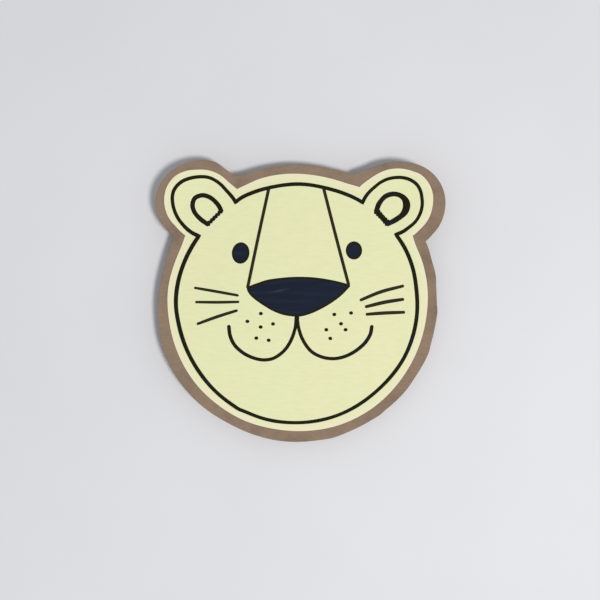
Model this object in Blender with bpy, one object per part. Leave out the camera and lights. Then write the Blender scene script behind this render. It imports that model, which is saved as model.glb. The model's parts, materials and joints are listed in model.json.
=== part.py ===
"""A paper bag puppet with a lion's head, lying on its back and ready for a hand.

The bag is a small kraft paper bag with gusseted sides. Its closed end is turned over towards the
front and makes the flap that the fingers move. A lion's head, cut from cream card and glued on a
larger piece of kraft card, is glued to that flap, so the whole face lifts when the mouth opens.

Everything is in metres with +Z up. The face looks up (+Z), the ears point to +Y, and the bag's
open end faces -Y. The origin is under the middle of the head, on the surface that the bag lies on.
"""

from math import acos, asin, atan2, cos, degrees, radians, sin

import bpy
from mathutils import Matrix, Vector

MM = 0.001

# ---- Driving dimensions ------------------------------------------------------------------------

# The head. Angles are in degrees, anticlockwise from +X as the face is looked at, about the
# middle of the round head. Each ear has its own place, because the head was drawn by hand.
HEAD_BACKING_RADIUS = 76.6 * MM
HEAD_FACE_RADIUS = 71.0 * MM
HEAD_LINE_RADIUS = 65.9 * MM
LEFT_EAR = {"angle": 134.4, "reach": 77.2 * MM}
RIGHT_EAR = {"angle": 44.7, "reach": 78.1 * MM}
# Radius of the ear's round end, and half the angle that the ear's root takes on the round head.
LEFT_EAR_BACKING = {"radius": 23.3 * MM, "root": 18.2}
RIGHT_EAR_BACKING = {"radius": 25.0 * MM, "root": 19.8}
LEFT_EAR_FACE = {"radius": 18.4 * MM, "root": 15.6}
RIGHT_EAR_FACE = {"radius": 18.6 * MM, "root": 15.7}
LEFT_EAR_LINE = {"radius": 14.8 * MM, "root": 12.4}
RIGHT_EAR_LINE = {"radius": 14.2 * MM, "root": 11.4}

# Sheets
BAG_PAPER = 0.3 * MM
LAP_PAPER = 0.2 * MM
BACKING_CARD = 0.6 * MM
FACE_CARD = 0.3 * MM
INK = 0.1 * MM
LAYER_GAP = 0.2 * MM
FOLD_GAP = 0.3 * MM
INK_GAP = 0.1 * MM

# The bag
BAG_WIDTH = 100.0 * MM
BAG_LENGTH = 119.0 * MM
FOLD_FROM_HEAD_CENTRE = 63.1 * MM
FOLD_RADIUS = 5.2 * MM
FLAP_LENGTH = 60.0 * MM
BACK_FOLD_TOP_ANGLE = 0.0
FLAP_FOLD_LOW_ANGLE = -40.0
OPEN_ANGLE = 2.2
PANEL_START = 0.8 * MM
TOOTH_PITCH = 4.0 * MM
TOOTH_DEPTH = 1.2 * MM
THUMB_NOTCH_RADIUS = 9.0 * MM
LAP_WIDTH = 12.0 * MM
GUSSET_WIDTH = 26.0 * MM
GUSSET_START = 8.0 * MM
GUSSET_CREASE_GAP = 0.6 * MM
HEM_WIDTH = 12.0 * MM
FLAP_GUSSET_DEPTH = 16.0 * MM
FLAP_GUSSET_END = 36.0 * MM

# Drawn lines, in the round head's own axes
LINE_WIDTH = 2.0 * MM
BRIDGE_WIDTH = 1.7 * MM
WHISKER_WIDTH = 1.6 * MM
MOUTH_WIDTH = 2.1 * MM
EAR_LINE_WIDTH = 2.5 * MM
DOT_RADIUS = 1.05 * MM

STEP = 6.0  # degrees between the points of a round stretch


# ---- Outlines ----------------------------------------------------------------------------------


def arc(centre, radius, start, end, step=STEP):
    """Points along a circle from one angle to another, in degrees, both ends included."""
    count = max(2, round(abs(end - start) / step))
    angles = (radians(start + (end - start) * i / count) for i in range(count + 1))
    return [(centre[0] + radius * cos(a), centre[1] + radius * sin(a)) for a in angles]


def polar(radius, angle):
    return (radius * cos(radians(angle)), radius * sin(radians(angle)))


def ear_path(head_radius, place, ear, step=STEP):
    """One ear: straight out from the round head, round the ear's end, and straight back."""
    centre = polar(place["reach"], place["angle"])
    root = Vector(polar(head_radius, ear["root"])) - Vector((place["reach"], 0.0))
    turn = degrees(atan2(root.y, root.x) - acos(ear["radius"] / root.length))
    first, last = (polar(head_radius, place["angle"] + side * ear["root"]) for side in (-1, 1))
    start, end = (place["angle"] + side * turn for side in (-1, 1))
    return [first, *arc(centre, ear["radius"], start, end, step), last]


def head_outline(head_radius, left_ear, right_ear, step=STEP):
    """The whole head as one closed outline, anticlockwise, from the right ear's lower root."""
    right = ear_path(head_radius, RIGHT_EAR, right_ear, step)
    left = ear_path(head_radius, LEFT_EAR, left_ear, step)
    forehead = arc(
        (0, 0),
        head_radius,
        RIGHT_EAR["angle"] + right_ear["root"],
        LEFT_EAR["angle"] - left_ear["root"],
        step,
    )
    chin = arc(
        (0, 0),
        head_radius,
        LEFT_EAR["angle"] + left_ear["root"],
        360 + RIGHT_EAR["angle"] - right_ear["root"],
        step,
    )
    return right + forehead[1:-1] + left + chin[1:-1]


def normals(points, closed):
    """Unit normals to the right of the path at each point."""
    found = []
    count = len(points)
    for i in range(count):
        before = points[i - 1] if closed or i > 0 else points[i]
        after = points[(i + 1) % count] if closed or i < count - 1 else points[i]
        along = Vector((after[0] - before[0], after[1] - before[1])).normalized()
        found.append(Vector((along.y, -along.x)))
    return found


def stroke(points, width):
    """The outline of a pen stroke along a path, with round ends."""
    half = width / 2
    sides = normals(points, closed=False)
    right = [(p[0] + n.x * half, p[1] + n.y * half) for p, n in zip(points, sides)]
    left = [(p[0] - n.x * half, p[1] - n.y * half) for p, n in zip(points, sides)]
    end_angle = degrees(atan2(sides[-1].y, sides[-1].x))
    start_angle = degrees(atan2(-sides[0].y, -sides[0].x))
    end_cap = arc(points[-1], half, end_angle, end_angle + 180, 45)[1:-1]
    start_cap = arc(points[0], half, start_angle, start_angle + 180, 45)[1:-1]
    return right + end_cap + left[::-1] + start_cap


def ring(points, width):
    """The outer and inner outline of a pen stroke round a closed, anticlockwise path."""
    half = width / 2
    sides = normals(points, closed=True)
    outer = [(p[0] + n.x * half, p[1] + n.y * half) for p, n in zip(points, sides)]
    inner = [(p[0] - n.x * half, p[1] - n.y * half) for p, n in zip(points, sides)]
    return outer, inner


def ellipse(centre, across, up, lean):
    """An oval's outline, whose upright axis leans by an angle."""
    turn = Matrix.Rotation(radians(lean), 2)
    oval = (turn @ Vector(p) for p in (
        (across * cos(radians(a)), up * sin(radians(a))) for a in range(0, 360, 12)
    ))
    return [(centre[0] + p.x, centre[1] + p.y) for p in oval]


def bowed(start, end, rise, count=6):
    """Points from start to end on a shallow bow that rises to the left of the way."""
    way = Vector((end[0] - start[0], end[1] - start[1]))
    left = Vector((-way.y, way.x)).normalized()
    points = []
    for i in range(count + 1):
        t = i / count
        lift = left * rise * 4 * t * (1 - t)
        points.append((start[0] + way.x * t + lift.x, start[1] + way.y * t + lift.y))
    return points


# ---- Making objects ----------------------------------------------------------------------------


def clear_scene():
    for item in list(bpy.data.objects):
        bpy.data.objects.remove(item)


def new_collection(name):
    collection = bpy.data.collections.new(name)
    bpy.context.scene.collection.children.link(collection)
    return collection


def finish(name, colour, roughness, metallic=0.0):
    """A Principled BSDF material with these values."""
    material = bpy.data.materials.new(name)
    material.use_nodes = True
    shader = material.node_tree.nodes["Principled BSDF"]
    shader.inputs["Base Color"].default_value = (*colour, 1.0)
    shader.inputs["Roughness"].default_value = roughness
    shader.inputs["Metallic"].default_value = metallic
    return material


def sheet(name, outlines, thickness, material, parent, bottom=0.0):
    """A flat piece cut to its outlines: the first is its edge and any others are holes in it.

    It lies in its parent's XY plane, with its underside at the height named bottom."""
    curve = bpy.data.curves.new(name, "CURVE")
    curve.dimensions = "2D"
    curve.fill_mode = "BOTH"
    curve.extrude = thickness / 2
    for outline in outlines:
        spline = curve.splines.new("POLY")
        spline.points.add(len(outline) - 1)
        for point, place in zip(spline.points, outline):
            point.co = (*place, 0.0, 1.0)
        spline.use_cyclic_u = True
    curve.materials.append(material)
    item = bpy.data.objects.new(name, curve)
    item.location.z = bottom + thickness / 2
    item.parent = parent
    puppet.objects.link(item)
    return item


def across_bag(name, profile, width, material, parent):
    """A strip with one cross-section across the bag: its profile is in the parent's YZ plane."""
    item = sheet(name, [profile], width, material, parent)
    item.location.z = 0.0
    item.rotation_euler = (radians(90), 0.0, radians(90))
    return item


def marker(name, location, rotation=(0.0, 0.0, 0.0), parent=None):
    """An empty that holds the pieces that move with one fold."""
    empty = bpy.data.objects.new(name, None)
    empty.location = location
    empty.rotation_euler = rotation
    empty.parent = parent
    puppet.objects.link(empty)
    return empty


# ---- The bag -----------------------------------------------------------------------------------


def open_edge(half_width, y):
    """The saw-cut edge at the bag's open end, from left to right."""
    teeth = round(2 * half_width / TOOTH_PITCH)
    points = []
    for i in range(2 * teeth + 1):
        depth = TOOTH_DEPTH * (i % 2)
        points.append((-half_width + i * half_width / teeth, y - depth))
    return points


def panel_outline(half_width, top, bottom, notch_radius=0.0):
    """A bag panel from its fold down to the saw-cut edge, with a thumb notch or without one."""
    edge = open_edge(half_width, bottom)
    if notch_radius:
        notch = arc((0.0, bottom), notch_radius, 180, 0, 15)
        left = [p for p in edge if p[0] < -notch_radius - TOOTH_PITCH / 4]
        right = [p for p in edge if p[0] > notch_radius + TOOTH_PITCH / 4]
        edge = left + notch + right
    return edge + [(half_width, top), (-half_width, top)]


def arc_band(outer_radius, thickness, start, end):
    """The cross-section of paper bent round the fold's middle, between two angles."""
    outer = arc((0.0, 0.0), outer_radius, start, end, 10)
    inner = arc((0.0, 0.0), outer_radius - thickness, end, start, 10)
    return outer + inner


def gusset_outline(side):
    """Half of a side gusset, in from its outer edge. Its inner edge, the crease, runs slantwise."""
    start_width = GUSSET_WIDTH * GUSSET_START / BAG_LENGTH
    return [
        (0.0, -GUSSET_START),
        (0.0, -BAG_LENGTH),
        (-side * GUSSET_WIDTH, -BAG_LENGTH),
        (-side * start_width, -GUSSET_START),
    ][:: -side]


def gusset_rest_angle():
    """How far each gusset half stands off its panel, so that both meet at the crease."""
    rear, front = gusset_heights()
    opening = front - rear + BAG_LENGTH * sin(radians(OPEN_ANGLE)) - GUSSET_CREASE_GAP
    return degrees(asin(opening / (2 * GUSSET_WIDTH)))


def gusset_heights():
    """Heights, from the fold's axis, of the middle of the rear and front halves at their folds."""
    rear = -FOLD_RADIUS + BAG_PAPER + FOLD_GAP + BAG_PAPER / 2
    front = FRONT_PANEL_BOTTOM - FOLD_GAP - BAG_PAPER / 2
    return rear, front


FRONT_PANEL_BOTTOM = -2 * BAG_PAPER
HALF_BAG = BAG_WIDTH / 2


def make_bag_back(body):
    """The panel on the table, its half of the soft fold at the top, and the glued back seam."""
    ground = -FOLD_RADIUS
    outline = panel_outline(HALF_BAG, -FOLD_GAP, -BAG_LENGTH)
    sheet("back_panel", [outline], BAG_PAPER, kraft, body, ground)
    band = arc_band(FOLD_RADIUS, BAG_PAPER, -90, BACK_FOLD_TOP_ANGLE)
    across_bag("back_fold", band, BAG_WIDTH, kraft, body)
    half_lap = LAP_WIDTH / 2
    lap = [
        (-half_lap, -BAG_LENGTH + TOOTH_PITCH),
        (half_lap, -BAG_LENGTH + TOOTH_PITCH),
        (half_lap, -GUSSET_START),
        (-half_lap, -GUSSET_START),
    ]
    sheet("back_seam_lap", [lap], LAP_PAPER, kraft, body, ground + BAG_PAPER + LAYER_GAP)


def make_bag_front(body):
    """The panel under the head, with the thumb notch at the open end."""
    outline = panel_outline(HALF_BAG, -PANEL_START, -BAG_LENGTH, THUMB_NOTCH_RADIUS)
    sheet("front_panel", [outline], BAG_PAPER, kraft, body, FRONT_PANEL_BOTTOM)


def make_gussets(back, front):
    """The side walls, each folded in along its middle. Each half hangs on its own panel's edge."""
    rear_height, front_height = gusset_heights()
    stand_off = radians(gusset_rest_angle())
    for word, side in (("left", -1), ("right", 1)):
        edge = side * HALF_BAG
        for place, panel, height, lift in (
            ("rear", back, rear_height, side),
            ("front", front, front_height, -side),
        ):
            fold = marker(
                f"{word}_{place}_gusset_fold",
                (edge, 0.0, height),
                (0.0, lift * stand_off, 0.0),
                panel,
            )
            sheet(
                f"{word}_{place}_gusset",
                [gusset_outline(side)],
                BAG_PAPER,
                kraft,
                fold,
                -BAG_PAPER / 2,
            )


# ---- The flap ----------------------------------------------------------------------------------

FLAP_RADIUS = FOLD_RADIUS - BAG_PAPER - FOLD_GAP  # outside of the flap's own half of the fold
BACKING_BOTTOM = FLAP_RADIUS + LAYER_GAP
FACE_BOTTOM = BACKING_BOTTOM + BACKING_CARD + LAYER_GAP
INK_BOTTOM = FACE_BOTTOM + FACE_CARD + INK_GAP
POCKET_DEPTH = FLAP_RADIUS - 3 * BAG_PAPER - LAYER_GAP  # rise of the inner panel to its free edge
POCKET_SLOPE = asin(POCKET_DEPTH / FLAP_LENGTH)


def rectangle(half_width, top, bottom):
    return [(-half_width, bottom), (half_width, bottom), (half_width, top), (-half_width, top)]


def flap_gusset_profile(side, height):
    """The cross-section of the flap's folded side: in to the crease and out again, one paper thick."""
    edge = side * (HALF_BAG - FOLD_GAP)
    crease = edge - side * FLAP_GUSSET_DEPTH
    half = height / 2
    wall = BAG_PAPER
    points = [
        (edge, -half),
        (edge, -half + wall),
        (crease + side * wall, 0.0),
        (edge, half - wall),
        (edge, half),
        (crease - side * wall, 0.0),
    ]
    return points[::side]


def loft(name, sections, material, parent):
    """A closed solid through two like cross-sections, each a list of corners in 3-D."""
    count = len(sections[0])
    faces = [tuple(range(count))[::-1], tuple(range(count, 2 * count))]
    for i in range(count):
        j = (i + 1) % count
        faces.append((i, j, count + j, count + i))
    mesh = bpy.data.meshes.new(name)
    mesh.from_pydata([p for section in sections for p in section], [], faces)
    mesh.materials.append(material)
    item = bpy.data.objects.new(name, mesh)
    item.parent = parent
    puppet.objects.link(item)
    return item


def make_flap(body):
    """The finger pocket: the turned-over end of the bag, closed by a glued hem at its free edge."""
    outer_bottom = FLAP_RADIUS - BAG_PAPER
    outer = rectangle(HALF_BAG, -FOLD_GAP, -FLAP_LENGTH)
    sheet("flap_outer_panel", [outer], BAG_PAPER, kraft, body, outer_bottom)
    band = arc_band(FLAP_RADIUS, BAG_PAPER, FLAP_FOLD_LOW_ANGLE, 90)
    across_bag("flap_fold", band, BAG_WIDTH - 2 * FOLD_GAP, kraft, body)

    slope = marker("flap_pocket_slope", (0.0, 0.0, 0.0), (-POCKET_SLOPE, 0.0, 0.0), body)
    inner_bottom = BAG_PAPER
    inner_end = FLAP_LENGTH - 2 * FOLD_GAP
    inner = rectangle(HALF_BAG, -PANEL_START, -inner_end)
    sheet("flap_inner_panel", [inner], BAG_PAPER, kraft, slope, inner_bottom)
    hem = rectangle(HALF_BAG - LAYER_GAP, -inner_end + HEM_WIDTH, -inner_end)
    hem_bottom = inner_bottom - LAYER_GAP - BAG_PAPER
    sheet("flap_bottom_hem", [hem], BAG_PAPER, kraft, slope, hem_bottom)

    for word, side in (("left", -1), ("right", 1)):
        sections = []
        for reach in (GUSSET_START, FLAP_GUSSET_END):
            low = inner_bottom + BAG_PAPER + reach * sin(POCKET_SLOPE) + LAYER_GAP
            high = outer_bottom - LAYER_GAP
            middle = (low + high) / 2
            profile = flap_gusset_profile(side, high - low)
            sections.append([(x, -reach, middle + z) for x, z in profile])
        loft(f"flap_{word}_gusset", sections, kraft, body)


# ---- The head ----------------------------------------------------------------------------------


def make_head(head):
    """The kraft backing card and the cream face card glued on it."""
    backing = head_outline(HEAD_BACKING_RADIUS, LEFT_EAR_BACKING, RIGHT_EAR_BACKING, 4)
    sheet("head_backing", [backing], BACKING_CARD, kraft_card, head, BACKING_BOTTOM)
    face = head_outline(HEAD_FACE_RADIUS, LEFT_EAR_FACE, RIGHT_EAR_FACE, 4)
    sheet("face_sheet", [face], FACE_CARD, cream_card, head, FACE_BOTTOM)


def ink_stroke(name, points, width, head):
    sheet(name, [stroke(points, width)], INK, ink, head, INK_BOTTOM)


def draw_outline(head):
    """The pen line that follows the head's edge."""
    line = head_outline(HEAD_LINE_RADIUS, LEFT_EAR_LINE, RIGHT_EAR_LINE)
    sheet("outline_line", ring(line, LINE_WIDTH), INK, ink, head, INK_BOTTOM)


def draw_nose(head):
    """The filled nose, between a shallow bow above and a deep one below."""
    left, right = (-26.9 * MM, 7.5 * MM), (29.3 * MM, 8.9 * MM)
    top = bowed(right, left, -6.0 * MM, 14)
    bottom = bowed(left, right, -16.4 * MM, 18)
    sheet("nose", [top + bottom[1:-1]], INK, ink, head, INK_BOTTOM)


def draw_bridge(head):
    """The two lines that run from the forehead to the corners of the nose."""
    for name, top, bottom in (
        ("left_bridge_line", (-15.3, 61.9), (-26.5, 9.5)),
        ("right_bridge_line", (15.2, 61.9), (28.7, 10.9)),
    ):
        points = [(top[0] * MM, top[1] * MM), (bottom[0] * MM, bottom[1] * MM)]
        ink_stroke(name, points, BRIDGE_WIDTH, head)


def draw_mouth(head):
    """The short line under the nose and the two round lines of the muzzle."""
    centre_line = [(0.2 * MM, -9.5 * MM), (0.4 * MM, -13.2 * MM)]
    ink_stroke("mouth_centre_line", centre_line, MOUTH_WIDTH, head)
    left = arc((-18.7 * MM, -13.5 * MM), 18.2 * MM, -8, -181, 10)
    ink_stroke("left_mouth_line", left, MOUTH_WIDTH, head)
    right = arc((21.1 * MM, -10.7 * MM), 20.1 * MM, 194.5, 353, 10)
    ink_stroke("right_mouth_line", right, MOUTH_WIDTH, head)


def draw_eyes(head):
    left = ellipse((-30.7 * MM, 27.1 * MM), 4.8 * MM, 5.9 * MM, -8)
    right = ellipse((31.6 * MM, 28.5 * MM), 4.6 * MM, 5.0 * MM, 0)
    sheet("left_eye", [left], INK, ink, head, INK_BOTTOM)
    sheet("right_eye", [right], INK, ink, head, INK_BOTTOM)


def draw_inner_ears(head):
    """A rounded arch in each ear, closed by a straight line across its base."""
    for name, centre, reach, half_width, base, turn in (
        ("left_inner_ear", (-49.3, 50.9), 9.35, 7.3, 5.4, 134.2),
        ("right_inner_ear", (52.2, 51.3), 9.1, 7.6, 5.4, 40.0),
    ):
        opening = degrees(acos(-base / reach))
        turned = Matrix.Rotation(radians(turn), 2)
        points = []
        for a in (radians(-opening + opening * i / 14) for i in range(29)):
            place = turned @ Vector((reach * cos(a), half_width * sin(a)))
            points.append(((centre[0] + place.x) * MM, (centre[1] + place.y) * MM))
        sheet(name, ring(points, EAR_LINE_WIDTH), INK, ink, head, INK_BOTTOM)


def draw_whiskers(head):
    whiskers = {
        "left": (
            ((-55.9, 8.0), (-32.1, 3.7), 0.2),
            ((-55.3, 0.1), (-32.1, 0.2), 0.0),
            ((-54.5, -11.8), (-32.8, -4.6), 0.1),
        ),
        "right": (
            ((35.2, 1.4), (58.7, 8.9), 0.6),
            ((38.3, -2.3), (58.6, 1.7), 0.2),
            ((38.7, -6.5), (59.3, -5.4), 0.3),
        ),
    }
    for word, lines in whiskers.items():
        for number, (start, end, rise) in enumerate(lines, 1):
            first, last = ((p[0] * MM, p[1] * MM) for p in (start, end))
            points = bowed(first, last, rise * MM)
            ink_stroke(f"{word}_whisker_{number}", points, WHISKER_WIDTH, head)


def draw_whisker_dots(head):
    dots = {
        "left": (
            (-19.6, -6.2), (-27.0, -10.5), (-19.7, -13.6),
            (-12.9, -11.9), (-22.1, -19.7), (-15.3, -20.9),
        ),
        "right": (
            (20.8, -6.7), (30.0, -5.9), (24.5, -11.8),
            (16.4, -15.1), (27.0, -15.1), (18.6, -19.9),
        ),
    }
    for word, places in dots.items():
        for number, (x, y) in enumerate(places, 1):
            dot = arc((x * MM, y * MM), DOT_RADIUS, 0, 330, 30)
            sheet(f"{word}_dot_{number}", [dot], INK, ink, head, INK_BOTTOM)


# ---- The whole puppet --------------------------------------------------------------------------


def head_middle():
    """Where the round head's middle is, so that the backing card's box is centred on the origin."""
    left = polar(LEFT_EAR["reach"], LEFT_EAR["angle"])
    right = polar(RIGHT_EAR["reach"], RIGHT_EAR["angle"])
    most_left = left[0] - LEFT_EAR_BACKING["radius"]
    most_right = right[0] + RIGHT_EAR_BACKING["radius"]
    highest = right[1] + RIGHT_EAR_BACKING["radius"]
    return -(most_left + most_right) / 2, -(highest - HEAD_BACKING_RADIUS) / 2


clear_scene()
puppet = new_collection("paper_bag_puppet")
kraft = finish("kraft_paper", (0.36, 0.22, 0.12), 0.85)
kraft_card = finish("kraft_card", (0.27, 0.19, 0.13), 0.9)
cream_card = finish("cream_card", (0.80, 0.80, 0.48), 0.75)
ink = finish("marker_ink", (0.015, 0.02, 0.03), 0.45)

middle_x, middle_y = head_middle()
fold_y = middle_y + FOLD_FROM_HEAD_CENTRE
bag_back = marker("bag_back", (middle_x, fold_y, FOLD_RADIUS))
bag_front = marker("bag_front", (0.0, 0.0, 0.0), (-radians(OPEN_ANGLE), 0.0, 0.0), bag_back)
head_flap = marker("head_flap", (0.0, 0.0, 0.0), (radians(OPEN_ANGLE), 0.0, 0.0), bag_front)
lion_head = marker("lion_head", (0.0, -FOLD_FROM_HEAD_CENTRE, 0.0), (0.0, 0.0, 0.0), head_flap)

make_bag_back(bag_back)
make_bag_front(bag_front)
make_gussets(bag_back, bag_front)
make_flap(head_flap)
make_head(lion_head)
draw_outline(lion_head)
draw_nose(lion_head)
draw_bridge(lion_head)
draw_mouth(lion_head)
draw_eyes(lion_head)
draw_inner_ears(lion_head)
draw_whiskers(lion_head)
draw_whisker_dots(lion_head)
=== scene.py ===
"""A paper bag puppet with a lion's head, lying on its back on a pale table."""

import json

import bpy
import numpy as np
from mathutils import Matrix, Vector


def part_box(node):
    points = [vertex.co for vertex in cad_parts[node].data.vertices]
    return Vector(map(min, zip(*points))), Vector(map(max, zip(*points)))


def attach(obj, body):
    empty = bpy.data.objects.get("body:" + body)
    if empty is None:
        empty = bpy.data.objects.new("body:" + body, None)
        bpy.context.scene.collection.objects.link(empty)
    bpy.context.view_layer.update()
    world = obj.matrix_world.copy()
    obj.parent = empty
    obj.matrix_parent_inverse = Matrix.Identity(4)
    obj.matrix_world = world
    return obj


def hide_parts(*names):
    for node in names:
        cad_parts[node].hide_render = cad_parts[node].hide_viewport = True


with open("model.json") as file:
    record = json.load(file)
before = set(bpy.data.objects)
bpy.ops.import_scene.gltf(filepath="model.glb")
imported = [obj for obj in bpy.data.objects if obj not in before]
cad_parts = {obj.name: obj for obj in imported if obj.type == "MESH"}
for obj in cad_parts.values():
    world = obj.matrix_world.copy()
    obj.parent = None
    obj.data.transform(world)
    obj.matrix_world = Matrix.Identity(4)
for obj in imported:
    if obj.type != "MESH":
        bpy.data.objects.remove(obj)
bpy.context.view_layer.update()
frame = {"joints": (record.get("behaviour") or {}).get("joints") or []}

# ------------------------------------------------------------------------------------------------
# The table and the light. The puppet lies on a plain sheet of white board. A soft round lamp hangs
# high over its lower right, so a narrow soft shadow falls past the head's upper left edge.
# ------------------------------------------------------------------------------------------------

MM = 0.001
SHARP_ANGLE = 38.0
TABLE_SIZE = 6.0
TABLE_DROP = 0.05 * MM
TABLE_COLOUR = (0.735, 0.735, 0.755)
TABLE_MOTTLE = 0.975
LAMP_PLACE = (0.56, -0.41, 1.60)
LAMP_SIZE = 0.36
LAMP_POWER = 18.6
LAMP_COLOUR = (1.0, 0.985, 0.96)
ROOM_LIGHT = (0.93, 0.96, 1.0)
ROOM_STRENGTH = 0.48


def grid_quads(rows, columns):
    """Four-sided faces between neighbouring points of a grid that is numbered row by row."""
    corner = np.arange(rows - 1)[:, None] * columns + np.arange(columns - 1)[None, :]
    return np.stack([corner, corner + 1, corner + columns + 1, corner + columns], -1).reshape(-1, 4)


def new_piece(name, points, faces, material):
    """A mesh object with these points and faces, shaded smooth except across sharp edges."""
    mesh = bpy.data.meshes.new(name)
    mesh.from_pydata(points.reshape(-1, 3).tolist(), [], [f.tolist() for f in faces])
    mesh.shade_smooth()
    mesh.set_sharp_from_angle(angle=np.radians(SHARP_ANGLE))
    mesh.materials.append(material)
    piece = bpy.data.objects.new(name, mesh)
    bpy.context.scene.collection.objects.link(piece)
    return piece


def new_finish(name, roughness, specular):
    """A material with an even roughness and gloss, and its node tree, ready for colour and bump."""
    material = bpy.data.materials.new(name)
    material.use_nodes = True
    shader = material.node_tree.nodes["Principled BSDF"]
    shader.inputs["Roughness"].default_value = roughness
    shader.inputs["Specular IOR Level"].default_value = specular
    return material, material.node_tree, shader


def pattern(tree, kind, stretch, **settings):
    """A texture node that reads the piece's own coordinates, stretched along X, Y and Z."""
    coordinates = tree.nodes.new("ShaderNodeTexCoord")
    mapping = tree.nodes.new("ShaderNodeMapping")
    mapping.inputs["Scale"].default_value = stretch
    texture = tree.nodes.new(kind)
    for socket, value in settings.items():
        texture.inputs[socket].default_value = value
    tree.links.new(coordinates.outputs["Object"], mapping.inputs["Vector"])
    tree.links.new(mapping.outputs["Vector"], texture.inputs["Vector"])
    return texture.outputs[0]


def noise(tree, scale, detail, stretch=(1, 1, 1)):
    """Cloudy noise, with so many clouds to the metre and so many finer layers."""
    return pattern(tree, "ShaderNodeTexNoise", stretch, Scale=scale, Detail=detail)


def ramp(tree, amount, stops):
    """Turns an amount into colours: stops are (place from 0 to 1, colour)."""
    node = tree.nodes.new("ShaderNodeValToRGB")
    for _ in stops[2:]:
        node.color_ramp.elements.new(0.5)
    for element, (place, colour) in zip(node.color_ramp.elements, stops):
        element.position = place
        element.color = (*colour, 1.0)
    tree.links.new(amount, node.inputs["Fac"])
    return node.outputs["Color"]


def make_table():
    """One flat square a hair under the bag, of white board with faint slow clouds of grey."""
    board, tree, shader = new_finish("white_board", roughness=0.6, specular=0.25)
    grain = noise(tree, 9.0, 3.0)
    darker = tuple(TABLE_MOTTLE * c for c in TABLE_COLOUR)
    colour = ramp(tree, grain, [(0.35, darker), (0.65, TABLE_COLOUR)])
    tree.links.new(colour, shader.inputs["Base Color"])
    half = TABLE_SIZE / 2
    corners = np.array([(-half, -half), (half, -half), (-half, half), (half, half)])
    points = np.column_stack([corners, np.full(4, -TABLE_DROP)])
    new_piece("table", points, grid_quads(2, 2), board)


def make_light():
    """The lamp points at the middle of the table. An even pale glow from all round fills in."""
    lamp = bpy.data.lights.new("soft_lamp", "AREA")
    lamp.shape = "DISK"
    lamp.size = LAMP_SIZE
    lamp.energy = LAMP_POWER
    lamp.color = LAMP_COLOUR
    holder = bpy.data.objects.new("soft_lamp", lamp)
    holder.location = LAMP_PLACE
    holder.rotation_euler = Vector(LAMP_PLACE).to_track_quat("Z", "Y").to_euler()
    bpy.context.scene.collection.objects.link(holder)
    room = bpy.data.worlds.new("room")
    room.use_nodes = True
    glow = room.node_tree.nodes["Background"]
    glow.inputs["Color"].default_value = (*ROOM_LIGHT, 1.0)
    glow.inputs["Strength"].default_value = ROOM_STRENGTH
    bpy.context.scene.world = room
    bpy.context.scene.view_settings.view_transform = "Standard"


make_table()
make_light()

# ------------------------------------------------------------------------------------------------
# The camera. It looks straight down at the face from about half a metre, and its picture is a
# square 330 mm across at the height of the face.
# ------------------------------------------------------------------------------------------------

PICTURE_WIDTH = 330.0 * MM
LENS = 60.0
SENSOR = 36.0
AIM = (0.33 * MM, -0.40 * MM)


def make_camera():
    """Its height over the face is the picture's width times the lens over the sensor."""
    face_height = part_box("face_sheet")[1][2]
    camera = bpy.data.cameras.new("camera")
    camera.lens = LENS
    camera.sensor_width = SENSOR
    camera.clip_start = 0.01
    camera.clip_end = 20.0
    holder = bpy.data.objects.new("camera", camera)
    holder.location = (*AIM, face_height + PICTURE_WIDTH * LENS / SENSOR)
    bpy.context.scene.collection.objects.link(holder)
    bpy.context.scene.camera = holder


make_camera()

# ------------------------------------------------------------------------------------------------
# The bag's back: one sheet of ribbed brown kraft paper. It lies flat on the table, turns up round
# the fold at the top, and rolls over at both sides into the gussets. Its open end is saw-cut, as
# the machine that makes such bags leaves it.
# ------------------------------------------------------------------------------------------------

PAPER = 0.22 * MM
SIDE_ROLL = 0.30 * MM
ROLL_STEPS = 5
ROLL_AT_FOLD = 0.12
ROLL_FADES_OVER = 7.0 * MM
BACK_FOLD_TURN = 88.0
TOOTH_PITCH = 4.0 * MM
TOOTH_DEPTH = 1.2 * MM
TEETH_FADE_OVER = 6.0 * MM
RIPPLE_LENGTHS = (9.1 * MM, 13.7 * MM, 17.3 * MM)
SEAM_STEP = 0.12 * MM
SEAM_STEP_WIDTH = 0.2 * MM
SEAM_FADES_OVER = 14.0 * MM
SEAM_PAPER = 0.16 * MM
SEAM_WANDER = 0.25 * MM
SEAM_WANDER_LENGTH = 11.0 * MM
SEAM_RIPPLE = 0.04 * MM
KRAFT_LIGHT = (0.40, 0.262, 0.160)
KRAFT_MIDDLE = (0.335, 0.212, 0.125)
KRAFT_DARK = (0.235, 0.140, 0.078)
KRAFT_FLECK = (0.13, 0.075, 0.042)
KRAFT_RELIEF = 0.06 * MM


def joint_named(name):
    """The frame's record of a joint: its place, its axis and the body that it moves."""
    return next(joint for joint in frame["joints"] if joint["name"] == name)


fold = np.array(joint_named("head_flap_fold")["pos_m"])
back_box = np.array(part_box("back_panel"))
half_bag = (back_box[1, 0] - back_box[0, 0]) / 2
bag_length = fold[1] - back_box[0, 1] - TOOTH_DEPTH


def plain(tree, colour):
    """One colour, the same everywhere."""
    node = tree.nodes.new("ShaderNodeRGB")
    node.outputs[0].default_value = (*colour, 1.0)
    return node.outputs[0]


def mixed(tree, how, share, first, second):
    """Mixes two colours. The share is a number, or an output that varies over the surface."""
    node = tree.nodes.new("ShaderNodeMix")
    node.data_type = "RGBA"
    node.blend_type = how
    if isinstance(share, float):
        node.inputs["Factor"].default_value = share
    else:
        tree.links.new(share, node.inputs["Factor"])
    # The node has hidden sockets for numbers and vectors too: the colour ones are 6, 7 and 2.
    tree.links.new(first, node.inputs[6])
    tree.links.new(second, node.inputs[7])
    return node.outputs[2]


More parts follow.
